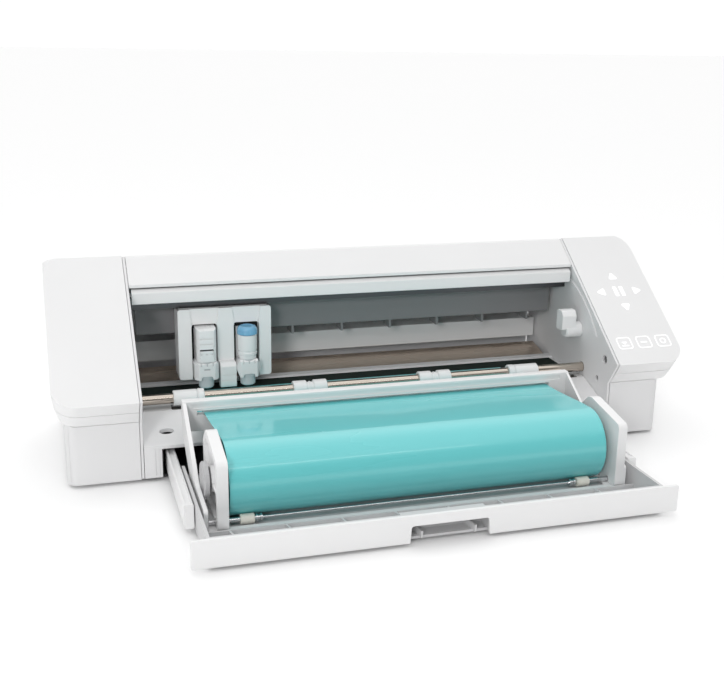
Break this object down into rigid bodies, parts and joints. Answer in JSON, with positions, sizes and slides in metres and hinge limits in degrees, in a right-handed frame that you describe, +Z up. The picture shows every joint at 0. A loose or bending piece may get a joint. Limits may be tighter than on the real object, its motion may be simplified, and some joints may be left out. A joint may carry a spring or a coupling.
{
  "type": "vinyl cutter",
  "caption": "Desktop vinyl cutter with sloped end covers, a lid over the tool carriage, and a pull-out drawer with a roll feeder holding a roll of vinyl.",
  "frame": {"origin": "middle of the machine's footprint with the drawer pulled out, on the surface it stands on", "axes": "+X to the right of the machine along its width, -Y towards the user, +Z up"},
  "size_m": [0.57, 0.3484, 0.17],
  "materials": {
    "cover_white": "fine matt moulded ABS",
    "base_white": "fine matt moulded ABS, slightly greyer",
    "interior_grey": "matt moulded ABS",
    "feeder_white": "satin moulded ABS",
    "platen_bronze": "satin bronze-toned anodised sheet",
    "strip_black": "dark cutting strip",
    "rubber_dark": "matt rubber",
    "rail_metal": "extruded, dark",
    "shaft_bronze": "polished bronze-toned shaft",
    "grit_steel": "grit-blasted steel",
    "pulley_steel": "machined",
    "pinion_brass": "machined",
    "motor_dark": "satin black",
    "roller_white": "smooth moulded",
    "support_cream": "smooth moulded",
    "tool_clear": "frosted clear",
    "tool_grey": "satin moulded",
    "cap_blue": "translucent light blue",
    "vinyl_teal": "glossy self-adhesive vinyl",
    "core_card": "brown cardboard tube",
    "board_green": "solder mask",
    "port_metal": "plated"
  },
  "bodies": {
    "chassis": {"left_end_cover": "cover_white", "right_end_cover": "cover_white", "left_base_cover": "base_white", "right_base_cover": "base_white", "top_cover": "cover_white", "rear_cover": "base_white", "bottom_pan": "interior_grey", "middle_deck": "interior_grey", "left_side_wall": "base_white", "right_side_wall": "base_white", "foot_front_left": "rubber_dark", "foot_front_right": "rubber_dark", "foot_rear_left": "rubber_dark", "foot_rear_right": "rubber_dark", "front_platen": "base_white", "cutting_strip": "strip_black", "rear_platen": "platen_bronze", "upper_back_panel": "interior_grey", "lower_back_panel": "interior_grey", "carriage_rail": "rail_metal", "carriage_belt": "rubber_dark", "carriage_motor": "motor_dark", "feed_motor": "motor_dark", "main_board": "board_green", "touch_board": "board_green", "power_inlet": "motor_dark", "usb_port": "port_metal", "vinyl_sheet_platen": "vinyl_teal"},
    "lid": {"lid": "cover_white"},
    "carriage": {"carriage_cover": "feeder_white", "carriage_body": "feeder_white"},
    "tool_slide_one": {"tool_holder_1": "tool_clear", "tool_1": "tool_grey"},
    "tool_slide_two": {"tool_holder_2": "tool_clear", "tool_2": "tool_grey", "tool_2_cap": "cap_blue"},
    "drive_pulley": {"belt_drive_pulley": "pulley_steel"},
    "idler_pulley": {"belt_idler_pulley": "pulley_steel"},
    "feed": {"feed_shaft": "grit_steel", "feed_gear": "feeder_white"},
    "pinion": {"motor_pinion": "pinion_brass"},
    "pinch": {"pinch_shaft": "shaft_bronze", "left_pinch_roller": "roller_white", "left_roller_pair": "roller_white", "right_roller_pair": "roller_white"},
    "right_roller": {"right_pinch_roller": "roller_white"},
    "lever": {"release_lever": "feeder_white"},
    "drawer": {"drawer_front": "cover_white", "drawer_tray": "feeder_white"},
    "left_rail": {"left_slide_rail": "feeder_white"},
    "right_rail": {"right_slide_rail": "feeder_white"},
    "feeder": {"feeder_frame": "feeder_white", "left_feeder_arm": "feeder_white", "right_feeder_arm": "feeder_white", "vinyl_sheet_feeder": "vinyl_teal"},
    "front_support": {"front_support_shaft": "support_cream"},
    "rear_support": {"rear_support_shaft": "support_cream"},
    "roll": {"vinyl_roll": "vinyl_teal", "roll_core": "core_card", "roll_spindle": "feeder_white"}
  },
  "joints": [
    {"name": "lid_swing", "type": "hinge", "parent": "chassis", "child": "lid", "pos_m": [0, 0.1232, 0.015], "axis": [1, 0, 0], "range_deg": [0, 36.1]},
    {"name": "carriage_slide", "type": "slide", "parent": "chassis", "child": "carriage", "axis": [1, 0, 0], "range_m": [-0.033, 0.292]},
    {"name": "tool_one_press", "type": "slide", "parent": "carriage", "child": "tool_slide_one", "axis": [0, 0, 1], "range_m": [-0.003, 0.001], "stiffness_N_per_m": 200, "springref_m": 0.001},
    {"name": "tool_two_press", "type": "slide", "parent": "carriage", "child": "tool_slide_two", "axis": [0, 0, 1], "range_m": [-0.003, 0.001], "stiffness_N_per_m": 200, "springref_m": 0.001},
    {"name": "drive_pulley_turn", "type": "hinge", "parent": "chassis", "child": "drive_pulley", "pos_m": [0.228, 0.1017, 0.13], "axis": [0, 0, 1], "range_deg": [-3200, 400]},
    {"name": "idler_pulley_turn", "type": "hinge", "parent": "chassis", "child": "idler_pulley", "pos_m": [-0.228, 0.1017, 0.13], "axis": [0, 0, 1], "range_deg": [-3200, 400]},
    {"name": "feed_turn", "type": "hinge", "parent": "chassis", "child": "feed", "pos_m": [0, 0.0462, 0.0404], "axis": [1, 0, 0], "continuous": true},
    {"name": "pinion_turn", "type": "hinge", "parent": "chassis", "child": "pinion", "pos_m": [0, 0.0682, 0.0404], "axis": [1, 0, 0], "continuous": true},
    {"name": "pinch_turn", "type": "hinge", "parent": "chassis", "child": "pinch", "pos_m": [0, 0.0462, 0.0545], "axis": [1, 0, 0], "continuous": true},
    {"name": "right_roller_slide", "type": "slide", "parent": "pinch", "child": "right_roller", "axis": [1, 0, 0], "range_m": [-0.045, 0.04]},
    {"name": "lever_turn", "type": "hinge", "parent": "chassis", "child": "lever", "pos_m": [0.2, 0.0562, 0.09], "axis": [1, 0, 0], "range_deg": [0, 60]},
    {"name": "drawer_slide", "type": "slide", "parent": "chassis", "child": "drawer", "axis": [0, 1, 0], "range_m": [0, 0.168]},
    {"name": "left_rail_slide", "type": "slide", "parent": "chassis", "child": "left_rail", "axis": [0, 1, 0], "range_m": [0, 0.112]},
    {"name": "right_rail_slide", "type": "slide", "parent": "chassis", "child": "right_rail", "axis": [0, 1, 0], "range_m": [0, 0.112]},
    {"name": "feeder_lift", "type": "slide", "parent": "chassis", "child": "feeder", "axis": [0, 0, 1], "range_m": [0, 0.152]},
    {"name": "roll_turn", "type": "hinge", "parent": "feeder", "child": "roll", "pos_m": [0, -0.0932, 0.0354], "axis": [1, 0, 0], "continuous": true},
    {"name": "front_support_turn", "type": "hinge", "parent": "feeder", "child": "front_support", "pos_m": [0, -0.1152, 0.00961], "axis": [1, 0, 0], "continuous": true},
    {"name": "rear_support_turn", "type": "hinge", "parent": "feeder", "child": "rear_support", "pos_m": [0, -0.0712, 0.00961], "axis": [1, 0, 0], "continuous": true}
  ],
  "couplings": [
    {"joint": "drive_pulley_turn", "follows": "carriage_slide", "rad_per_m": -185.19},
    {"joint": "idler_pulley_turn", "follows": "carriage_slide", "rad_per_m": -185.19},
    {"joint": "pinion_turn", "follows": "feed_turn", "ratio": -2.6667},
    {"joint": "pinch_turn", "follows": "feed_turn", "ratio": -0.83333},
    {"joint": "roll_turn", "follows": "feed_turn", "ratio": 0.20339},
    {"joint": "front_support_turn", "follows": "feed_turn", "ratio": -1.5},
    {"joint": "rear_support_turn", "follows": "feed_turn", "ratio": -1.5},
    {"joint": "left_rail_slide", "follows": "drawer_slide", "ratio": 0.66},
    {"joint": "right_rail_slide", "follows": "drawer_slide", "ratio": 0.66},
    {"joint": "feeder_lift", "follows": "drawer_slide", "ratio": 0.895}
  ]
}
